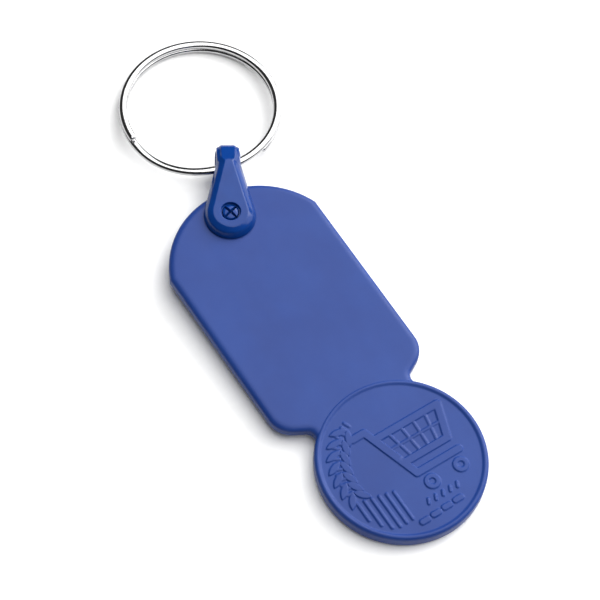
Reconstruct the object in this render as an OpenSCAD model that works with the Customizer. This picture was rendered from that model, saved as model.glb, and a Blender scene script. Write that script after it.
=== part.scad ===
// Trolley-coin key tag: a coin-sized disc moulded in one with a flat tag, a folded strap clip
// that swivels on the tag, and a steel split ring held in the clip's eye.
// Origin: centre of the coin disc, on its underside. +Y runs up the tag to the ring, +Z is the relief side.

/* [Coin disc] */
// Diameter of the coin disc
coin_d = 24.25; // [23.25:0.05:25.75]
// Thickness of the coin disc over its rim
coin_t = 2.38; // [2.30:0.01:2.50]
// Width of the raised rim
rim_w = 0.80; // [0.60:0.05:0.90]
// Height of the rim above the coin's field
rim_h = 0.22; // [0.18:0.01:0.28]
// Height of the relief above the coin's field
relief_h = 0.16; // [0.08:0.01:0.18]
// Width of a bold line of the relief
bold_w = 1.15; // [0.80:0.05:1.30]
// Width of a fine line of the relief
fine_w = 0.42; // [0.30:0.02:0.50]

/* [Tag plate] */
// Width of the plate
plate_w = 24.7; // [24:0.1:26]
// Thickness of the plate
plate_t = 2.23; // [2.0:0.01:2.25]
// Distance from the coin's centre to the top of the plate's dome
apex_y = 48.4; // [47:0.1:50]
// Radius of the domed end
dome_r = 13.3; // [13:0.1:16]
// Radius of the two lower corners
corner_r = 3.9; // [2.5:0.1:4.5]
// Slope of the two shoulders next to the coin
shoulder_angle = 28; // [24:1:32]
// Half width and height of the point where a shoulder starts
shoulder_start = [8.7, 10.4];
// Radius of the hollow between a shoulder and the coin
notch_r = 1.2; // [0.8:0.1:1.6]

/* [Strap clip] */
// Distance from the plate's top to the swivel pin's axis
pin_inset = 4.2; // [3.8:0.1:4.5]
// Pin centre to the right of the tag's centre line, mm
pin_x = 0.35; // [0.00:0.05:0.80]
// Clockwise turn of the clip from straight
swivel_rest = 31.0; // [0:0.5:45]
// Radius of the clip's round end
clip_end_r = 3.75; // [3.40:0.05:3.90]
// Width of the strap at the fold
fold_w = 3.6; // [3.4:0.1:4.0]
// Distance from the pin's axis to the outside of the fold
clip_reach = 12.1; // [11.5:0.1:12.3]
// Thickness of each leg
leg_t = 1.45; // [1.30:0.05:1.60]
// Inward slope of a leg's side wall
draft_w = 0.45; // [0.20:0.05:0.50]
// Width of the bevel around a leg's raised face
bevel_w = 0.80; // [0.50:0.05:0.90]
// Gap between a leg and the plate
leg_gap = 0.12; // [0.08:0.01:0.20]
// Wall at the end of the fold
fold_wall = 1.1; // [0.9:0.1:1.2]
// Outside radius of the fold
fold_r = 2.1; // [2.0:0.05:2.3]
// Diameter of the swivel pin
pin_d = 2.60; // [2.5:0.05:2.8]
// Diameter of the pin's split tip
tip_d = 2.25; // [2.1:0.05:2.3]
// Diameter of the recess around the tip
recess_d = 2.85; // [2.7:0.05:3.0]

/* [Split ring] */
// Outside diameter of the ring
ring_d = 23.9; // [22:0.1:25]
// Radial width of the wire
wire_w = 1.20; // [1.0:0.05:1.3]
// Height of the wire
wire_h = 0.95; // [0.8:0.05:1.0]
// Distance from the pin's axis to the wire in the clip's eye
eye_reach = 8.95; // [8.80:0.05:9.10]
// Ring moved along its wire from where it would hang centred in the eye, mm
ring_slide = 0.34; // [-0.80:0.02:0.80]
// Direction of the ring's centre from the eye, clockwise from +Y
ring_heading = 10.4; // [0:0.2:20]
// Droop of the ring's far side
ring_droop = 5.4; // [4:0.1:7]

/* [Hidden] */
$fn = 96;
coin_r = coin_d / 2;
field_z = coin_t - rim_h;
plate_z = (coin_t - plate_t) / 2 - 0.02;
mid_z = plate_z + plate_t / 2;
pin_y = apex_y - pin_inset;
pin_gap = 0.08;
tip_gap = 0.12;

// Plate outline: the straight side meets the shoulder in a tangent arc
half_w = plate_w / 2;
shoulder_dir = [cos(shoulder_angle), sin(shoulder_angle)];
shoulder_out = [sin(shoulder_angle), -cos(shoulder_angle)];
side_foot_y = shoulder_start[1] + (half_w - shoulder_start[0]) * tan(shoulder_angle);
corner_run = corner_r * tan((90 - shoulder_angle) / 2);
corner_c = [half_w - corner_r, side_foot_y + corner_run];

// Notch circle: touches the shoulder line and just runs into the coin's edge
notch_bite = 0.04;
notch_reach = coin_r + notch_r - notch_bite;
notch_foot = shoulder_start + notch_r * shoulder_out;
notch_b = notch_foot * shoulder_dir;
notch_run = sqrt(notch_b * notch_b + notch_reach * notch_reach - notch_foot * notch_foot) - notch_b;
notch_c = notch_foot + notch_run * shoulder_dir;
notch_aim = atan2(notch_c[1], notch_c[0]);

// Clip, in its own frame: pin at the origin, fold towards +Y, mid plane at z = 0
leg_in = plate_t / 2 + leg_gap;
leg_out = leg_in + leg_t;
bevel_h = 0.50;
taper_y = 8.3;
rib_w = 2.5;
rib_h = 0.35;
fold_c = clip_reach - fold_r;
eye_c = clip_reach - fold_wall - leg_in;
hinge_gap = 0.03;
tip_top = leg_out - 0.12;

// Split ring, in its own frame: eye at the origin, centre at +Y
ring_r = (ring_d - wire_w) / 2;
turn_gap = 0.04;
plane_z = (wire_h + turn_gap) / 2;
upper_end = 80.6;
lower_end = 29.8;
lap = 360 - upper_end - lower_end;
wire_turn = 2 * lap + upper_end + lower_end;
eye_z = 1.00;
eye_turn = lap + lower_end;

// ---- shared shapes -------------------------------------------------------------------------

// Points along an arc about c, from angle a0 to a1, both ends included
function arc(c, r, a0, a1, n) = [for (i = [0 : n]) let (a = a0 + (a1 - a0) * i / n) c + r * [cos(a), sin(a)]];

// Line with round ends
module stroke(a, b, w) {
    turn = atan2(b[1] - a[1], b[0] - a[0]);
    polygon(concat(arc(a, w / 2, turn + 90, turn + 270, 8), arc(b, w / 2, turn - 90, turn + 90, 8)));
}

// Chain of such lines through a list of points
module path(points, w) {
    for (i = [1 : len(points) - 1])
        stroke(points[i - 1], points[i], w);
}

// Pointed leaf from the origin along +X
module leaf(length, width) {
    r = (length * length / 4 + width * width / 4) / width;
    intersection() {
        translate([length / 2, r - width / 2]) circle(r = r);
        translate([length / 2, width / 2 - r]) circle(r = r);
    }
}

// ---- token tag -----------------------------------------------------------------------------

// Right half of the outline, from the top of the dome down to the coin
half_outline = concat(
    arc([0, apex_y - dome_r], dome_r, 90, acos(half_w / dome_r), 24),
    arc(corner_c, corner_r, 0, shoulder_angle - 90, 12),
    arc(notch_c, notch_r, 90 + shoulder_angle, 180 + notch_aim, 12)
);

module plate() {
    left_half = [for (i = [len(half_outline) - 1 : -1 : 1]) [-half_outline[i][0], half_outline[i][1]]];
    translate([0, 0, plate_z]) linear_extrude(plate_t) difference() {
        polygon(concat(half_outline, [[0, coin_r / 2]], left_half));
        circle(r = coin_r - rim_w / 2, $fn = 180);
        translate([pin_x, pin_y]) circle(d = pin_d + 2 * pin_gap);
    }
}

module coin() {
    difference() {
        cylinder(r = coin_r, h = coin_t, $fn = 180);
        translate([0, 0, field_z]) cylinder(r = coin_r - rim_w, h = coin_t, $fn = 180);
    }
}

// Shopping trolley in bold raised lines, right of centre
module trolley_relief() {
    path([[-4.3, 5.9], [-2.3, 5.9], [0.6, -2.9], [7.6, -2.9]], bold_w);
    path([[-1.6, 4.3], [8.9, 4.3], [7.2, -0.7], [0.1, -0.7]], bold_w);
    for (k = [1 : 4])
        stroke([-1.6 + 2.05 * k, 4.3], [0.1 + 1.4 * k, -0.7], fine_w);
    stroke([-0.8, 1.9], [8.0, 1.9], fine_w);
    for (x = [1.7, 6.5])
        translate([x, -5.0]) difference() {
            circle(r = 1.15, $fn = 48);
            circle(r = 0.45, $fn = 48);
        }
}

// Two rows of short bars, lower right
module bar_relief() {
    for (k = [0 : 4])
        stroke([-0.6 + 1.2 * k, -7.5], [-0.3 + 1.2 * k, -6.9], fine_w);
    for (k = [0 : 3])
        stroke([-2.9 + 1.9 * k, -9.3 + 0.1 * k], [-2.0 + 1.9 * k, -9.3 + 0.1 * k], 0.9);
}

// Leafy sprig that follows the rim on the left
module sprig_relief() {
    sprig_r = 8.6;
    for (a = [118 : 11 : 184])
        rotate(a) translate([sprig_r, 0]) {
            rotate(52) leaf(2.7, 1.0);
            rotate(128) leaf(2.7, 1.0);
        }
    for (a = [114 : 5 : 184])
        rotate(a) translate([sprig_r, 0]) stroke([0, 0], [0, 0.8], fine_w);
}

// Row of upright ribs, lower left
module rib_relief() {
    for (k = [0 : 5]) {
        x = -9.0 + 1.05 * k;
        foot = -sqrt(pow(coin_r - 1.7, 2) - x * x);
        stroke([x, -2.3 - 0.25 * k], [x, max(foot, -8.2)], fine_w);
    }
}

module token_tag() {
    color([0.23, 0.31, 0.60]) {
        union() {
            plate();
            coin();
            translate([0, 0, field_z - 0.05]) linear_extrude(relief_h + 0.05) {
                trolley_relief();
                bar_relief();
                sprig_relief();
                rib_relief();
            }
        }
    }
}

// ---- strap clip ----------------------------------------------------------------------------

// Teardrop outline, inset by d: a round end that tapers to the width of the fold
module leg_outline(d) {
    r = clip_end_r - d;
    p = [fold_w / 2 - d, taper_y];
    a = atan2(p[1], p[0]) - acos(r / norm(p));
    t = r * [cos(a), sin(a)];
    circle(r = r);
    polygon([t, p, [-p[0], p[1]], [-t[0], t[1]]]);
}

// One leg of the strap on z = leg_in: sloping side wall, then a bevel up to the raised face
module leg() {
    slab = 0.01;
    translate([0, 0, leg_in]) linear_extrude(0.4) leg_outline(0);
    hull() {
        $fn = 32;
        translate([0, 0, leg_in + 0.3]) linear_extrude(slab) leg_outline(0);
        translate([0, 0, leg_out - bevel_h]) linear_extrude(slab) leg_outline(draft_w);
        translate([0, 0, leg_out - slab]) linear_extrude(slab) leg_outline(draft_w + bevel_w);
    }
}

// Half of the fold, w wide: slopes from z = top down to an arc of radius r, around the ring's eye
module fold_half(w, r, top) {
    p = [taper_y - fold_c, top];
    a = atan2(p[1], p[0]) - acos(r / norm(p));
    rotate([90, 0, 90]) translate([0, 0, -w / 2]) linear_extrude(w) difference() {
        intersection() {
            translate([fold_c, 0]) {
                circle(r = r);
                polygon([[p[0], 0], p, r * [cos(a), sin(a)], [0, 0]]);
            }
            translate([taper_y, hinge_gap / 2]) square([clip_reach, leg_out]);
        }
        translate([eye_c, 0]) circle(r = leg_in);
        square([eye_c, leg_in]);
    }
}

module strap_half() {
    leg();
    fold_half(rib_w, fold_r, leg_out - 0.02);
    fold_half(fold_w, fold_r - rib_h, leg_out - bevel_h);
}

module place_clip() {
    translate([pin_x, pin_y, mid_z]) rotate(-swivel_rest) children();
}

module clip_front_leg() {
    color([0.16, 0.27, 0.60]) place_clip() difference() {
        strap_half();
        cylinder(d = tip_d + 2 * tip_gap, h = leg_out + 1);
        translate([0, 0, leg_out - 0.5]) cylinder(d = recess_d, h = 1);
    }
}

// Split tip of the pin: two crossed slots part it into four springy lobes
module pin_tip() {
    slot_w = 0.24;
    slot_h = 0.8;
    difference() {
        translate([0, 0, leg_in - 0.05]) {
            cylinder(d = tip_d, h = tip_top - leg_in - 0.25);
            translate([0, 0, tip_top - leg_in - 0.25]) cylinder(d1 = tip_d, d2 = tip_d - 0.8, h = 0.3);
        }
        for (a = [45, 135])
            rotate(a) translate([-tip_d, -slot_w / 2, tip_top - slot_h]) cube([2 * tip_d, slot_w, slot_h + 1]);
    }
}

module clip_back_leg() {
    color([0.16, 0.27, 0.60]) place_clip() {
        mirror([0, 0, 1]) strap_half();
        translate([0, 0, -leg_in - 0.2]) cylinder(d = pin_d, h = 2 * leg_in + 0.2 - 0.05);
        pin_tip();
    }
}

// ---- split ring ----------------------------------------------------------------------------

// Wire section: a rectangle with its corners cut, as [radial, axial] points
cut = 0.26;
section = [
    [wire_w / 2, -wire_h / 2 + cut], [wire_w / 2, wire_h / 2 - cut],
    [wire_w / 2 - cut, wire_h / 2], [-wire_w / 2 + cut, wire_h / 2],
    [-wire_w / 2, wire_h / 2 - cut], [-wire_w / 2, -wire_h / 2 + cut],
    [-wire_w / 2 + cut, -wire_h / 2], [wire_w / 2 - cut, -wire_h / 2],
];

function smooth(t) = let (u = min(max(t, 0), 1)) u * u * (3 - 2 * u);

// Height of the wire's centre after it has turned through an angle from its upper end
function wire_z(turn) = plane_z * (1 - 2 * smooth((turn - lap - 18) / (upper_end + lower_end - 36)));

function wire_point(turn, p) =
    let (a = -90 - upper_end - turn, r = ring_r + p[0])
    [r * cos(a), r * sin(a), wire_z(turn) + p[1]];

module wire() {
    steps = 122;
    m = len(section);
    points = [for (i = [0 : steps]) for (p = section) wire_point(wire_turn * i / steps, p)];
    first_cap = [for (j = [0 : m - 1]) j];
    last_cap = [for (j = [0 : m - 1]) steps * m + m - 1 - j];
    sides = [for (i = [0 : steps - 1]) for (j = [0 : m - 1])
        let (k = (j + 1) % m, a = i * m, b = a + m) each [[a + j, b + j, b + k], [a + j, b + k, a + k]]];
    polyhedron(points, concat([first_cap, last_cap], sides));
}

module split_ring() {
    eye = [pin_x + eye_reach * sin(swivel_rest), pin_y + eye_reach * cos(swivel_rest), eye_z];
    color([0.80, 0.80, 0.82]) translate(eye) rotate(-ring_heading) rotate([-ring_droop, 0, 0])
        translate([ring_slide, ring_r, -wire_z(eye_turn)]) wire();
}

token_tag();
clip_back_leg();
clip_front_leg();
split_ring();
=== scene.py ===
"""Trolley-coin key tag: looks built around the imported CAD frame.

Lengths below are in millimetres in the CAD frame unless a name says otherwise; every mesh is scaled
to metres when it is made. The tag is one moulding, the strap clip is one folded strip with a pin,
and the ring is one wound wire.
"""

import math

import bmesh
import bpy
import numpy as np
from mathutils import Matrix, Vector

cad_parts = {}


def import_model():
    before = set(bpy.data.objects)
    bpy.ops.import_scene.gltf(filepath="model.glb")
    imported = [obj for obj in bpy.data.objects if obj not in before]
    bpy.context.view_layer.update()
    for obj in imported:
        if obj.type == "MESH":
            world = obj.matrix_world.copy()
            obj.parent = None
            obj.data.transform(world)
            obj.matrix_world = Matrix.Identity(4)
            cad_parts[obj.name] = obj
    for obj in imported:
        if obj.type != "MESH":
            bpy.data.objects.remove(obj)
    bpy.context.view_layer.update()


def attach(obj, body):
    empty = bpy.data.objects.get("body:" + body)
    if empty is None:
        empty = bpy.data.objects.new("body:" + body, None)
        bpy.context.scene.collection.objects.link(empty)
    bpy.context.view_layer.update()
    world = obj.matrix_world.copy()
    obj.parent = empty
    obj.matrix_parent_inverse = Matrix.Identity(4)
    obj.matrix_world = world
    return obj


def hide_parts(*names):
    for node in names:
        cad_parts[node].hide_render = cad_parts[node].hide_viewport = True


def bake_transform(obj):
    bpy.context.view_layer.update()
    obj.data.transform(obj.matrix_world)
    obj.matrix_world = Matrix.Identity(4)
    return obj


MM = 0.001

# ---- driving dimensions, the same as the CAD model's ---------------------------------------

COIN_R = 12.125
COIN_T = 2.38
RIM_H = 0.22
RELIEF_H = 0.16
FIELD_Z = COIN_T - RIM_H
PLATE_W = 24.7
PLATE_T = 2.23
PLATE_Z = 0.055
MID_Z = PLATE_Z + PLATE_T / 2
APEX_Y = 48.4
DOME_R = 13.3
CORNER_R = 3.9
SHOULDER_ANGLE = 28.0
SHOULDER_START = np.array([8.7, 10.4])
NOTCH_R = 1.2
NOTCH_BITE = 0.04

PIN_X = 0.35
PIN_Y = 44.2
SWIVEL_REST = 31.0
CLIP_END_R = 3.75
FOLD_W = 3.6
CLIP_REACH = 12.1
LEG_IN = 1.235
LEG_OUT = 2.685
DRAFT_W = 0.45
BEVEL_W = 0.80
BEVEL_H = 0.50
TAPER_Y = 8.3
FOLD_R = 2.1
FOLD_WALL = 1.1
RIB_W = 2.5
RIB_H = 0.35
PIN_D = 2.60
PIN_PLAY = 0.08
TIP_D = 2.25
TIP_PLAY = 0.12
TIP_SUNK = 0.12
RECESS_D = 2.85
RECESS_DEPTH = 0.50

RING_D = 23.9
WIRE_W = 1.20
WIRE_H = 0.95
TURN_GAP = 0.04
EYE_REACH = 8.95
RING_SLIDE = 0.34
EYE_Z = 1.00
RING_HEADING = 10.4
RING_DROOP = 5.4
UPPER_END = 80.6
LOWER_END = 29.8

# ---- looks ----------------------------------------------------------------------------------

# Rounded edges of the plate: run and drop of the upper one, radius of the lower one.
EDGE_RUN = 1.05
EDGE_DROP = 0.62
UNDER_R = 0.75
EDGE_FLAT = 0.15
EDGE_STEPS = 10

# Points on the clip's arcs and slopes; the outer and inner curves of the fold must have as many.
ARC_STEPS = 24
SLOPE_STEPS = 4
SIDE_STEPS = 8


def srgb(r, g, b):
    """Linear colour of an sRGB colour given as 0 to 255."""
    linear = [((c / 255 + 0.055) / 1.055) ** 2.4 if c > 10 else c / 255 / 12.92 for c in (r, g, b)]
    return (*linear, 1.0)


TAG_DEEP = srgb(26, 54, 121)
TAG_LIGHT = srgb(30, 60, 129)
CLIP_DEEP = srgb(7, 49, 117)
CLIP_LIGHT = srgb(10, 54, 124)
STEEL_DEEP = srgb(178, 178, 180)
STEEL_LIGHT = srgb(192, 192, 192)
CARD_DEEP = srgb(243, 243, 243)
CARD_LIGHT = srgb(246, 246, 246)


# ---- mesh helpers ---------------------------------------------------------------------------

def mesh_object(name, points, faces):
    """A new object in the scene from points in mm."""
    mesh = bpy.data.meshes.new(name)
    mesh.from_pydata([tuple(p) for p in np.asarray(points, float) * MM], [], faces)
    mesh.validate()
    made = bpy.data.objects.new(name, mesh)
    bpy.context.scene.collection.objects.link(made)
    return made


def arc(centre, r, a0, a1, n):
    """n + 1 points along an arc, angles in degrees."""
    a = np.radians(np.linspace(a0, a1, n + 1))
    return np.array(centre) + r * np.stack([np.cos(a), np.sin(a)], 1)


def loft(rings, closed_ends=True):
    """Points and faces of a surface through rings of equal length, each a closed loop."""
    m = len(rings[0])
    points = np.concatenate(rings)
    faces = [
        (i * m + j, i * m + (j + 1) % m, (i + 1) * m + (j + 1) % m, (i + 1) * m + j)
        for i in range(len(rings) - 1)
        for j in range(m)
    ]
    if closed_ends:
        faces += [tuple(range(m))[::-1], tuple((len(rings) - 1) * m + j for j in range(m))]
    return points, faces


def outward(made):
    """Turns every face of a closed mesh outwards."""
    bm = bmesh.new()
    bm.from_mesh(made.data)
    bmesh.ops.recalc_face_normals(bm, faces=bm.faces)
    bm.to_mesh(made.data)
    bm.free()
    return made


def combine(made, other, operation):
    """Boolean of two closed meshes, applied, and the second one removed."""
    step = made.modifiers.new("combine", "BOOLEAN")
    step.operation, step.object, step.solver = operation, other, "EXACT"
    bpy.context.view_layer.update()
    graph = bpy.context.evaluated_depsgraph_get()
    result = bpy.data.meshes.new_from_object(made.evaluated_get(graph))
    made.modifiers.clear()
    made.data = result
    bpy.data.objects.remove(other)
    return made


def smooth(made, angle):
    """Smooth shading with sharp edges above an angle in degrees."""
    mesh = made.data
    mesh.polygons.foreach_set("use_smooth", [True] * len(mesh.polygons))
    bm = bmesh.new()
    bm.from_mesh(mesh)
    for edge in bm.edges:
        edge.smooth = len(edge.link_faces) != 2 or edge.calc_face_angle(0.0) < math.radians(angle)
    bm.to_mesh(mesh)
    bm.free()
    return made


def lathe(name, profile, n=96):
    """Closed solid turned about Z from a profile of (radius, z) points, both ends on the axis."""
    a = np.linspace(0, 2 * np.pi, n, endpoint=False)
    inner = profile[1:-1]
    rings = [np.stack([r * np.cos(a), r * np.sin(a), np.full(n, z)], 1) for r, z in inner]
    points, faces = loft(rings, closed_ends=False)
    first, last = len(points), len(points) + 1
    points = np.vstack([points, [[0, 0, profile[0][1]], [0, 0, profile[-1][1]]]])
    top = (len(inner) - 1) * n
    faces += [(first, (j + 1) % n, j) for j in range(n)]
    faces += [(last, top + j, top + (j + 1) % n) for j in range(n)]
    return outward(mesh_object(name, points, faces))


# ---- relief of the coin's field --------------------------------------------------------------

def stroke_distance(p, a, b):
    """Distance from points p to the line from a to b."""
    a, b = np.array(a, float), np.array(b, float)
    d = b - a
    t = np.clip(((p - a) @ d) / max(d @ d, 1e-9), 0, 1)
    return np.linalg.norm(p - a - t[:, None] * d, axis=1)


def leaf_distance(p, origin, angle, length, width):
    """Signed distance, negative inside, to a pointed leaf that starts at origin."""
    a = math.radians(angle)
    q = p - np.array(origin)
    q = np.stack([q @ [math.cos(a), math.sin(a)], q @ [-math.sin(a), math.cos(a)]], 1)
    r = (length**2 / 4 + width**2 / 4) / width
    low = np.hypot(q[:, 0] - length / 2, q[:, 1] - (r - width / 2)) - r
    high = np.hypot(q[:, 0] - length / 2, q[:, 1] - (width / 2 - r)) - r
    return np.maximum(low, high)


def relief_height(p):
    """Height of the relief above the field at points p: trolley, bars, sprig and ribs."""
    bold, fine = 1.15, 0.42
    low = 0.11
    height = np.zeros(len(p))

    def raise_by(distance, amount, edge=0.24):
        t = np.clip(0.5 - distance / edge, 0, 1)
        np.maximum(height, amount * t * t * (3 - 2 * t), out=height)

    def path(points, width, amount=RELIEF_H):
        for a, b in zip(points, points[1:]):
            raise_by(stroke_distance(p, a, b) - width / 2, amount)

    path([(-4.3, 5.9), (-2.3, 5.9), (0.6, -2.9), (7.6, -2.9)], bold)
    path([(-1.6, 4.3), (8.9, 4.3), (7.2, -0.7), (0.1, -0.7)], bold)
    for k in range(1, 5):
        path([(-1.6 + 2.05 * k, 4.3), (0.1 + 1.4 * k, -0.7)], fine, low)
    path([(-0.8, 1.9), (8.0, 1.9)], fine, low)
    for x in (1.7, 6.5):
        away = np.hypot(p[:, 0] - x, p[:, 1] + 5.0)
        raise_by(np.maximum(away - 1.15, 0.45 - away), RELIEF_H)
    for k in range(5):
        path([(-0.6 + 1.2 * k, -7.5), (-0.3 + 1.2 * k, -6.9)], fine)
    for k in range(4):
        path([(-2.9 + 1.9 * k, -9.3 + 0.1 * k), (-2.0 + 1.9 * k, -9.3 + 0.1 * k)], 0.9)
    sprig_r = 8.6
    for turn in range(118, 185, 11):
        a = math.radians(turn)
        foot = (sprig_r * math.cos(a), sprig_r * math.sin(a))
        for side in (52, 128):
            raise_by(leaf_distance(p, foot, turn + side, 2.7, 1.0), RELIEF_H, 0.2)
    for turn in range(114, 185, 5):
        a = math.radians(turn)
        step = np.array([math.cos(a), math.sin(a)])
        path([sprig_r * step, (sprig_r + 0.8) * step], fine, 0.12)
    for k in range(6):
        x = -9.0 + 1.05 * k
        foot = max(-math.sqrt((COIN_R - 1.7) ** 2 - x * x), -8.2)
        path([(x, -2.3 - 0.25 * k), (x, foot)], fine)
    return height


# ---- token tag ---------------------------------------------------------------------------------

def plate_outline(inset):
    """Outline of the plate, counter-clockwise, moved inwards by inset."""
    up = math.radians(SHOULDER_ANGLE)
    along, out = np.array([math.cos(up), math.sin(up)]), np.array([math.sin(up), -math.cos(up)])
    half = PLATE_W / 2
    foot_y = SHOULDER_START[1] + (half - SHOULDER_START[0]) * math.tan(up)
    corner = (half - CORNER_R, foot_y + CORNER_R * math.tan((math.pi / 2 - up) / 2))
    foot = SHOULDER_START + NOTCH_R * out
    b, reach = foot @ along, COIN_R + NOTCH_R - NOTCH_BITE
    notch = foot + (math.sqrt(b * b + reach * reach - foot @ foot) - b) * along
    aim = math.degrees(math.atan2(notch[1], notch[0]))
    dome_end = math.degrees(math.acos((half - inset) / (DOME_R - inset)))
    right = np.concatenate([
        arc((0, APEX_Y - DOME_R), DOME_R - inset, 90, dome_end, 48),
        arc(corner, CORNER_R - inset, 0, SHOULDER_ANGLE - 90, 20),
        arc(notch, NOTCH_R + inset, 90 + SHOULDER_ANGLE, 180 + aim, 20),
        [[1.0, COIN_R / 2]],
    ])
    left = right[:0:-1] * [-1, 1]
    return np.concatenate([left, right])[::-1]


def plate_wall():
    """Inset and height pairs up the plate's wall, from its rounded foot to its rounded top edge."""
    t = np.radians(np.linspace(0, 90, EDGE_STEPS + 1))
    foot = [(UNDER_R * (1 - math.sin(a)), UNDER_R * (1 - math.cos(a))) for a in t]
    head = [(EDGE_RUN * (1 - math.cos(a)), PLATE_T - EDGE_DROP * (1 - math.sin(a))) for a in t]
    return [(UNDER_R + EDGE_FLAT, 0.0)] + foot + head + [(EDGE_RUN + EDGE_FLAT, PLATE_T)]


def plate():
    """The tag's plate, without the disc and the pin's hole."""
    rings = []
    for inset, z in plate_wall():
        loop = plate_outline(inset)
        rings.append(np.column_stack([loop, np.full(len(loop), PLATE_Z + z)]))
    points, faces = loft(rings)
    return outward(mesh_object("plate", points, faces))


def coin():
    """Turned disc whose upper face is lifted by the relief."""
    around, spacing = 660, 0.11
    inner_r, crest, crest_drop, slope = COIN_R - 1.12, 0.52, 0.55, 0.55
    foot_r, centre_r = 0.6, 0.3
    foot = []
    for a in np.radians(np.linspace(0, 90, 9)):
        foot.append((COIN_R - foot_r * (1 - math.sin(a)), foot_r * (1 - math.cos(a))))
    rise = []
    for a in np.radians(np.linspace(0, 90, 11)):
        rise.append((COIN_R - crest * (1 - math.cos(a)), COIN_T - crest_drop * (1 - math.sin(a))))
    for t in np.linspace(0.1, 1, 10):
        rise.append((COIN_R - crest - slope * t, COIN_T - RIM_H * t * t * (3 - 2 * t)))
    radii = np.arange(inner_r - spacing, centre_r, -spacing)
    profile = foot + rise + [(r, FIELD_Z) for r in radii]
    a = np.linspace(0, 2 * np.pi, around, endpoint=False)
    ring = np.stack([np.cos(a), np.sin(a)], 1)
    rings = []
    for r, z in profile:
        flat = r * ring
        lift = relief_height(flat) if z <= FIELD_Z + 1e-6 and r <= inner_r else 0.0
        rings.append(np.column_stack([flat, np.full(around, z) + lift]))
    points, faces = loft(rings, closed_ends=False)
    centre = len(points)
    points = np.vstack([points, [[0, 0, rings[-1][:, 2].mean()]]])
    last = (len(rings) - 1) * around
    faces += [(centre, last + j, last + (j + 1) % around) for j in range(around)]
    faces.append(tuple(range(around))[::-1])
    return outward(mesh_object("coin", points, faces))


def token_tag():
    """Plate and disc as one moulding, with the pin's hole."""
    made = plate()
    under, over = -1, 4
    core_r, hole_r = COIN_R - 0.5, PIN_D / 2 + PIN_PLAY
    core = lathe("core", [(0, under), (core_r, under), (core_r, over), (0, over)], 240)
    made = combine(made, core, "DIFFERENCE")
    hole = lathe("hole", [(0, under), (hole_r, under), (hole_r, over), (0, over)])
    hole.location = (PIN_X * MM, PIN_Y * MM, 0)
    made = combine(made, hole, "DIFFERENCE")
    made = combine(made, coin(), "UNION")
    made.name = "tag_moulding"
    return smooth(made, 28)


# ---- strap clip ----------------------------------------------------------------------------------

FOLD_C = CLIP_REACH - FOLD_R
EYE_C = CLIP_REACH - FOLD_WALL - LEG_IN
WALL_TOP = LEG_OUT - BEVEL_H - 0.03
FOLD_BLEND = 0.5


def leg_edge(d):
    """Right edge of a leg inset by d, from the tip of its round end up to the fold."""
    r = CLIP_END_R - d
    p = np.array([FOLD_W / 2 - d, TAPER_Y])
    a = math.degrees(math.atan2(p[1], p[0]) - math.acos(r / np.linalg.norm(p)))
    rim = arc((0, 0), r, -90, a, ARC_STEPS)
    side = rim[-1] + np.linspace(0, 1, SIDE_STEPS + 1)[1:, None] * (p - rim[-1])
    return np.concatenate([rim, side])


def fold_curve(r, top):
    """(y, z) points over half the fold: from the leg's end down a slope, then an arc to z = 0."""
    p = np.array([TAPER_Y - FOLD_C, top])
    a = math.atan2(p[1], p[0]) - math.acos(min(1.0, r / np.linalg.norm(p)))
    start = r * np.array([math.cos(a), math.sin(a)])
    slope = p + np.linspace(0, 1, SLOPE_STEPS + 1)[:-1, None] * (start - p)
    bend = arc((0, 0), r, math.degrees(a), 0, ARC_STEPS)
    return np.concatenate([slope, bend]) + [FOLD_C, 0]


def eye_curve():
    """(y, z) points over the eye's inner wall, as many as on fold_curve."""
    y = np.linspace(TAPER_Y, EYE_C, SLOPE_STEPS + 1)[:-1]
    lead = np.column_stack([y, np.full(SLOPE_STEPS, LEG_IN)])
    return np.concatenate([lead, arc((EYE_C, 0), LEG_IN, 90, 0, ARC_STEPS)])


def fold_width(d):
    """Half width of the fold at inset d: full at its edge, the raised rib's further in."""
    rib = RIB_W / 2
    step = np.clip((d - DRAFT_W + 0.08) / 0.3, 0, 1)
    edge = FOLD_W / 2 - min(d, 0.12)
    inner = rib - max(d - DRAFT_W - 0.16, 0) * 0.4
    return edge + (inner - edge) * step


def strap_section():
    """(inset, height) pairs over a leg, from its inner face round its edge to its outer face."""
    slant = BEVEL_H / BEVEL_W
    flange = LEG_OUT - BEVEL_H
    bevel_end = DRAFT_W + BEVEL_W
    return [
        (0.45, LEG_IN), (0.10, LEG_IN), (0.03, LEG_IN + 0.03), (0.0, LEG_IN + 0.10),
        (0.12, LEG_IN + 0.40),
        (DRAFT_W - 0.06, flange - 0.14), (DRAFT_W, WALL_TOP),
        (DRAFT_W + 0.08, flange + 0.05), (DRAFT_W + 0.16, flange + 0.12),
        (bevel_end - 0.14, LEG_OUT - 0.14 * slant - 0.01),
        (bevel_end - 0.05, LEG_OUT - 0.035),
        (bevel_end + 0.09, LEG_OUT - 0.004), (bevel_end + 0.28, LEG_OUT),
    ]


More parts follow.
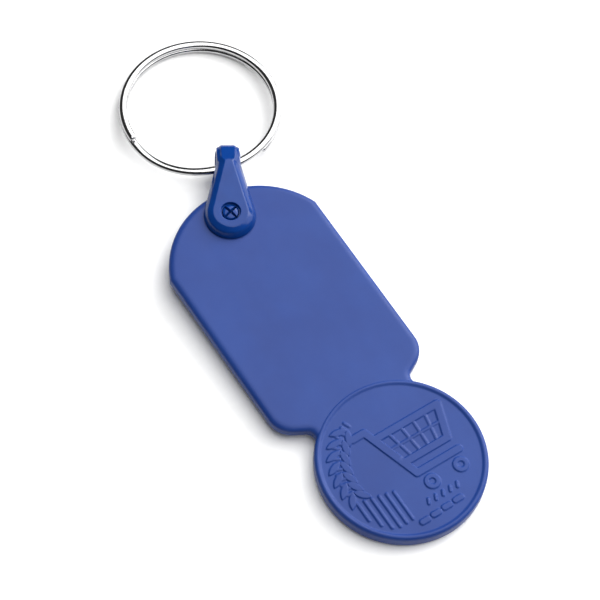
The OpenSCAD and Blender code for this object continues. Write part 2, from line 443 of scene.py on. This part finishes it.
def strap():
    """The folded strap in the clip's own frame: front leg up, fold towards +Y."""
    low_r = FOLD_R - RIB_H
    inner = eye_curve()
    base = fold_curve(low_r, WALL_TOP)
    rows = []
    for d, z in strap_section():
        edge = leg_edge(d)
        leg = np.column_stack([edge, np.full(len(edge), z)])
        if z <= WALL_TOP:
            bend = inner + (z - LEG_IN) / (WALL_TOP - LEG_IN) * (base - inner)
        else:
            bend = fold_curve(low_r + RIB_H * min((z - WALL_TOP) / (LEG_OUT - WALL_TOP), 1), z)
        end_half = FOLD_W / 2 - d
        blend = np.clip((bend[:, 0] - TAPER_Y) / FOLD_BLEND, 0, 1)
        half = end_half + (fold_width(d) - end_half) * blend
        arch = np.column_stack([half, bend[:, 0], bend[:, 1]])[1:]
        front = np.concatenate([leg, arch])
        back = front[:-1][::-1] * [1, 1, -1]
        rows.append(np.concatenate([front, back]))
    rows = np.array(rows)
    left = rows[::-1] * [-1, 1, 1]
    loops = np.concatenate([rows, left])
    count, stations = loops.shape[0], loops.shape[1]
    points = loops.reshape(-1, 3)
    faces = []
    for i in range(count):
        k = (i + 1) % count
        for j in range(stations - 1):
            near, far = i * stations + j, k * stations + j
            faces.append((near, near + 1, far + 1, far))
    made = mesh_object("clip_strap", points, faces)
    bm = bmesh.new()
    bm.from_mesh(made.data)
    apart = 1e-7
    bmesh.ops.remove_doubles(bm, verts=bm.verts, dist=apart)
    bmesh.ops.dissolve_degenerate(bm, edges=bm.edges, dist=apart)
    bm.to_mesh(made.data)
    bm.free()
    return outward(made)


def recess_cutter():
    """Stepped hole through the front leg, flared at the top."""
    hole_r, recess_r, lip_r = TIP_D / 2 + TIP_PLAY, RECESS_D / 2, 0.12
    seat, above = LEG_OUT - RECESS_DEPTH, LEG_OUT + 1
    lip = []
    for a in np.radians((0, 30, 60, 85)):
        lip.append((recess_r + lip_r * (1 - math.cos(a)), LEG_OUT - lip_r + lip_r * math.sin(a)))
    profile = [
        (0, 0), (hole_r, 0), (hole_r, seat - 0.02), (hole_r + 0.02, seat),
        (recess_r - 0.06, seat), (recess_r, seat + 0.06),
        *lip,
        (recess_r + lip_r, above), (0, above),
    ]
    return lathe("cutter", profile)


def place_clip(made):
    """Puts a clip piece at the swivel pin, turned to its rest angle."""
    turn = Matrix.Rotation(math.radians(-SWIVEL_REST), 4, "Z")
    made.data.transform(Matrix.Translation(Vector((PIN_X, PIN_Y, MID_Z)) * MM) @ turn)
    return made


def clip_strap():
    """The strap with its recess and hole, in place."""
    made = strap()
    made = combine(made, recess_cutter(), "DIFFERENCE")
    return place_clip(smooth(made, 38))


def slot_cutter(width, depth, top):
    """Slot with a round floor, flared where it meets the dome."""
    w, wide = width / 2, width / 2 + 0.12
    centre = top - depth + w
    side = [(w * math.cos(a), centre + w * math.sin(a)) for a in np.radians(np.linspace(180, 360, 9))]
    side += [(w, top - 0.2), (wide, top + 0.05), (wide, top + 0.5)]
    side += [(-wide, top + 0.5), (-wide, top + 0.05), (-w, top - 0.2)]
    rings = [np.array([[x, y, z] for y, z in side]) for x in (-TIP_D, TIP_D)]
    points, faces = loft(rings)
    return outward(mesh_object("slot", points, faces))


def clip_pin():
    """Swivel pin with a domed tip, split by two crossed slots."""
    top, tip_r, pin_r, dome_h = LEG_OUT - TIP_SUNK, TIP_D / 2, PIN_D / 2, 0.28
    foot, collar = -LEG_IN - 0.15, LEG_IN - 0.05
    shaft = [(0, foot), (pin_r, foot), (pin_r, LEG_IN - 0.12), (pin_r - 0.07, collar), (tip_r, collar)]
    dome = []
    for a in np.radians(np.linspace(0, 84, 12)):
        dome.append((tip_r * math.cos(a) ** 0.7, top - dome_h + dome_h * math.sin(a)))
    made = lathe("clip_pin", shaft + dome + [(0, top)], 72)
    for angle in (45, 135):
        slot = slot_cutter(0.24, 0.8, top)
        slot.data.transform(Matrix.Rotation(math.radians(angle), 4, "Z"))
        made = combine(made, slot, "DIFFERENCE")
    made.name = "clip_pin"
    return place_clip(smooth(made, 35))


# ---- split ring ------------------------------------------------------------------------------------

def split_ring():
    """Wire of a flattened section with round corners, wound twice round."""
    ring_r = (RING_D - WIRE_W) / 2
    plane_z = (WIRE_H + TURN_GAP) / 2
    lap = 360 - UPPER_END - LOWER_END
    total = 2 * lap + UPPER_END + LOWER_END
    bevel = 2 / 2.15
    a = np.linspace(0, 2 * np.pi, 32, endpoint=False)
    section = np.stack([
        WIRE_W / 2 * np.sign(np.cos(a)) * np.abs(np.cos(a)) ** bevel,
        WIRE_H / 2 * np.sign(np.sin(a)) * np.abs(np.sin(a)) ** bevel,
    ], 1)
    straight = 18

    def wire_z(turn):
        share = (turn - lap - straight) / (UPPER_END + LOWER_END - 2 * straight)
        t = min(max(share, 0), 1)
        return plane_z * (1 - 2 * t * t * (3 - 2 * t))

    def ring_at(turn, shrink=1.0):
        b = math.radians(-90 - UPPER_END - turn)
        r = ring_r + section[:, 0] * shrink
        return np.stack([r * math.cos(b), r * math.sin(b), wire_z(turn) + section[:, 1] * shrink], 1)

    tip = math.degrees(0.16 / ring_r)
    caps = [(tip * (1 - math.cos(u)), 0.75 + 0.25 * math.sin(u)) for u in np.radians((0, 30, 60))]
    rings = [ring_at(turn, shrink) for turn, shrink in caps]
    rings += [ring_at(turn) for turn in np.linspace(tip, total - tip, 560)]
    rings += [ring_at(total - turn, shrink) for turn, shrink in caps[::-1]]
    points, faces = loft(rings)
    made = outward(mesh_object("ring_wire", points, faces))
    turn = math.radians(SWIVEL_REST)
    eye = Vector((PIN_X + EYE_REACH * math.sin(turn), PIN_Y + EYE_REACH * math.cos(turn), EYE_Z))
    place = (
        Matrix.Translation(eye * MM)
        @ Matrix.Rotation(math.radians(-RING_HEADING), 4, "Z")
        @ Matrix.Rotation(math.radians(-RING_DROOP), 4, "X")
        @ Matrix.Translation(Vector((RING_SLIDE, ring_r, -wire_z(lap + LOWER_END))) * MM)
    )
    made.data.transform(place)
    return smooth(made, 50)


# ---- materials -----------------------------------------------------------------------------------

class Nodes:
    """Short names for building a node tree."""

    def __init__(self, name):
        self.material = bpy.data.materials.new(name)
        self.material.use_nodes = True
        self.tree = self.material.node_tree
        self.shader = self.tree.nodes["Principled BSDF"]
        self.place = self.add("ShaderNodeTexCoord").outputs["Object"]

    def add(self, kind, **values):
        node = self.tree.nodes.new(kind)
        for key, value in values.items():
            setattr(node, key, value)
        return node

    def link(self, a, b):
        self.tree.links.new(a, b)

    def feed(self, name, value):
        """Sets an input of the shader to a value, or to what comes out of a node."""
        if isinstance(value, bpy.types.NodeSocket):
            self.link(value, self.shader.inputs[name])
        else:
            self.shader.inputs[name].default_value = value

    def noise(self, scale, detail=3.0, rough=0.5, stretch=(1, 1, 1)):
        mapping = self.add("ShaderNodeMapping")
        mapping.inputs["Scale"].default_value = stretch
        self.link(self.place, mapping.inputs["Vector"])
        node = self.add("ShaderNodeTexNoise")
        node.inputs["Scale"].default_value = scale
        node.inputs["Detail"].default_value = detail
        node.inputs["Roughness"].default_value = rough
        self.link(mapping.outputs["Vector"], node.inputs["Vector"])
        return node.outputs["Fac"]

    def range(self, value, low, high, to_low, to_high):
        node = self.add("ShaderNodeMapRange")
        ends = {"From Min": low, "From Max": high, "To Min": to_low, "To Max": to_high}
        for key, number in ends.items():
            node.inputs[key].default_value = number
        self.link(value, node.inputs["Value"])
        return node.outputs["Result"]

    def total(self, a, b):
        node = self.add("ShaderNodeMath", operation="ADD")
        self.link(a, node.inputs[0])
        self.link(b, node.inputs[1])
        return node.outputs[0]

    def mix(self, value, a, b, spread=0.15):
        """Blend of two colours by a noise value, over the middle of its range."""
        factor = self.range(value, 0.5 - spread, 0.5 + spread, 0, 1)
        node = self.add("ShaderNodeMix", data_type="RGBA")
        self.link(factor, node.inputs["Factor"])
        node.inputs["A"].default_value = a
        node.inputs["B"].default_value = b
        return node.outputs["Result"]

    def bump(self, height, distance, normal=None):
        """Bump of a height in metres, on top of another one's normal."""
        node = self.add("ShaderNodeBump")
        node.inputs["Strength"].default_value = 1.0
        node.inputs["Distance"].default_value = distance
        self.link(height, node.inputs["Height"])
        if normal is not None:
            self.link(normal, node.inputs["Normal"])
        return node.outputs["Normal"]


def tag_plastic():
    """Satin moulded plastic: fine spark finish, soft flow clouds and a few rubbed spots."""
    n = Nodes("tag_plastic")
    clouds = n.noise(90, 4, 0.55)
    grain = n.noise(5200, 2, 0.6)
    rubbed = n.noise(420, 5, 0.7, (1, 0.35, 1))
    rough = n.total(n.range(rubbed, 0.4, 0.75, 0.36, 0.46), n.range(clouds, 0.3, 0.7, -0.02, 0.03))
    n.feed("Base Color", n.mix(clouds, TAG_DEEP, TAG_LIGHT))
    n.feed("Roughness", rough)
    n.feed("Normal", n.bump(grain, 4e-6, n.bump(clouds, 6e-5)))
    n.feed("IOR", 1.315)
    return n.material


def clip_plastic():
    """Glossy moulded plastic with faint flow lines and fine scuffs."""
    n = Nodes("clip_plastic")
    flow = n.noise(260, 3, 0.5)
    scuffs = n.noise(2600, 4, 0.65, (1, 0.2, 1))
    n.feed("Base Color", n.mix(flow, CLIP_DEEP, CLIP_LIGHT))
    n.feed("Roughness", n.range(scuffs, 0.35, 0.75, 0.10, 0.22))
    n.feed("Normal", n.bump(scuffs, 1.2e-6, n.bump(flow, 3e-5)))
    n.feed("IOR", 1.275)
    n.feed("Coat Weight", 0.12)
    n.feed("Coat Roughness", 0.06)
    return n.material


def ring_steel():
    """Bright nickel plate with fine draw marks."""
    n = Nodes("ring_steel")
    tone = n.noise(700, 3, 0.5)
    marks = n.noise(3200, 4, 0.6)
    n.feed("Base Color", n.mix(tone, STEEL_DEEP, STEEL_LIGHT))
    n.feed("Roughness", n.range(marks, 0.35, 0.75, 0.07, 0.16))
    n.feed("Normal", n.bump(marks, 1.5e-6))
    n.feed("Metallic", 1.0)
    return n.material


def floor_card():
    """Pale matt card, lifted a little by its own glow."""
    n = Nodes("floor_card")
    n.feed("Base Color", n.mix(n.noise(900, 3, 0.5), CARD_DEEP, CARD_LIGHT, 0.2))
    n.feed("Roughness", 0.9)
    n.feed("Specular IOR Level", 0.1)
    n.feed("Emission Color", (1, 1, 1, 1))
    n.feed("Emission Strength", 0.06)
    return n.material


# ---- studio -----------------------------------------------------------------------------------------

CAMERA_ELEVATION = 62.694
CAMERA_AZIMUTH = -41.466
CAMERA_ROLL = 8.976
CAMERA_DISTANCE = 388.7
CAMERA_TARGET = Vector((1.459, 27.687, COIN_T))
VIEW_WIDTH = 84.7362
SENSOR = 36

# The object rests on the disc's edge and, this much lower at this y, on its clip and ring.
REST_DROP = 1.53
REST_Y = 40.45
FLOOR_GAP = 0.02
FLOOR_HALF = 2500


def view_axes():
    """The camera's right, up and backward directions, before its roll."""
    a, e = math.radians(CAMERA_AZIMUTH), math.radians(CAMERA_ELEVATION)
    right = Vector((math.cos(a), math.sin(a), 0))
    back = Vector((math.sin(a) * math.cos(e), -math.cos(a) * math.cos(e), math.sin(e)))
    return right, back.cross(right), back


def camera():
    """The camera of the main view."""
    data = bpy.data.cameras.new("camera")
    made = bpy.data.objects.new("camera", data)
    bpy.context.scene.collection.objects.link(made)
    right, up, back = view_axes()
    r = math.radians(CAMERA_ROLL)
    x = right * math.cos(r) + up * math.sin(r)
    y = up * math.cos(r) - right * math.sin(r)
    place = Matrix((x, y, back)).transposed().to_4x4()
    place.translation = (CAMERA_TARGET + back * CAMERA_DISTANCE) * MM
    made.matrix_world = place
    data.sensor_width = SENSOR
    data.lens = SENSOR * CAMERA_DISTANCE / VIEW_WIDTH
    data.clip_start, data.clip_end = 0.01, 10
    bpy.context.scene.camera = made


def softbox(name, aim, direction, distance, size, radiance):
    """Evenly lit rectangle that faces the object from a direction."""
    data = bpy.data.lights.new(name, "AREA")
    data.shape, data.size, data.size_y = "RECTANGLE", size[0] * MM, size[1] * MM
    data.energy = radiance * math.pi * data.size * data.size_y
    made = bpy.data.objects.new(name, data)
    bpy.context.scene.collection.objects.link(made)
    towards = Vector(direction).normalized()
    made.location = (Vector(aim) + towards * distance) * MM
    made.rotation_mode = "QUATERNION"
    made.rotation_quaternion = towards.to_track_quat("Z", "Y")


def lay_floor():
    """Pale floor through the places the object rests on: the disc's edge, the clip and the ring."""
    corners = [(-1, -1, 0), (1, -1, 0), (1, 1, 0), (-1, 1, 0)]
    made = mesh_object("floor", FLOOR_HALF * np.array(corners), [(0, 1, 2, 3)])
    slope = math.atan2(REST_DROP, REST_Y + COIN_R)
    made.data.transform(
        Matrix.Translation(Vector((0, -COIN_R, 0)) * MM)
        @ Matrix.Rotation(-slope, 4, "X")
        @ Matrix.Translation(Vector((0, COIN_R, -FLOOR_GAP)) * MM)
    )
    made.data.materials.append(floor_card())


def world():
    """Dim surround with a pale backdrop."""
    made = bpy.data.worlds.new("studio")
    bpy.context.scene.world = made
    made.use_nodes = True
    tree = made.node_tree
    surround = tree.nodes["Background"]
    surround.inputs["Color"].default_value = (1, 1, 1, 1)
    surround.inputs["Strength"].default_value = 0.05
    backdrop = tree.nodes.new("ShaderNodeBackground")
    backdrop.inputs["Color"].default_value = (0.93, 0.93, 0.93, 1)
    path = tree.nodes.new("ShaderNodeLightPath")
    mix = tree.nodes.new("ShaderNodeMixShader")
    tree.links.new(path.outputs["Is Camera Ray"], mix.inputs["Fac"])
    tree.links.new(surround.outputs["Background"], mix.inputs[1])
    tree.links.new(backdrop.outputs["Background"], mix.inputs[2])
    tree.links.new(mix.outputs["Shader"], tree.nodes["World Output"].inputs["Surface"])


def studio():
    """Floor, surround, three softboxes and plain colour handling."""
    lay_floor()
    world()
    aim = (0, 30, 0)
    softbox("overhead", aim, (0.47, 0.05, 0.88), 450, (720, 840), 2.95)
    softbox("right_side", aim, (0.80, 0.20, 0.56), 480, (420, 240), 4.3)
    softbox("right_low", aim, (0.99, -0.05, 0.10), 480, (420, 90), 3.3)
    view = bpy.context.scene.view_settings
    view.view_transform, view.look, view.exposure, view.gamma = "Standard", "None", 0, 1


# ---- the object ------------------------------------------------------------------------------------

def coat(piece, finish):
    """Gives a piece its one material."""
    piece.data.materials.clear()
    piece.data.materials.append(finish)


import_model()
camera()
studio()

tag_finish, clip_finish, ring_finish = tag_plastic(), clip_plastic(), ring_steel()

tag = token_tag()
coat(tag, tag_finish)
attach(tag, "tag")
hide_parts("token_tag")

band = clip_strap()
coat(band, clip_finish)
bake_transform(band)
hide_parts("clip_back_leg", "clip_front_leg")

pin = clip_pin()
coat(pin, clip_finish)
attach(pin, "clip")

wire = split_ring()
coat(wire, ring_finish)
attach(wire, "ring")
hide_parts("split_ring")
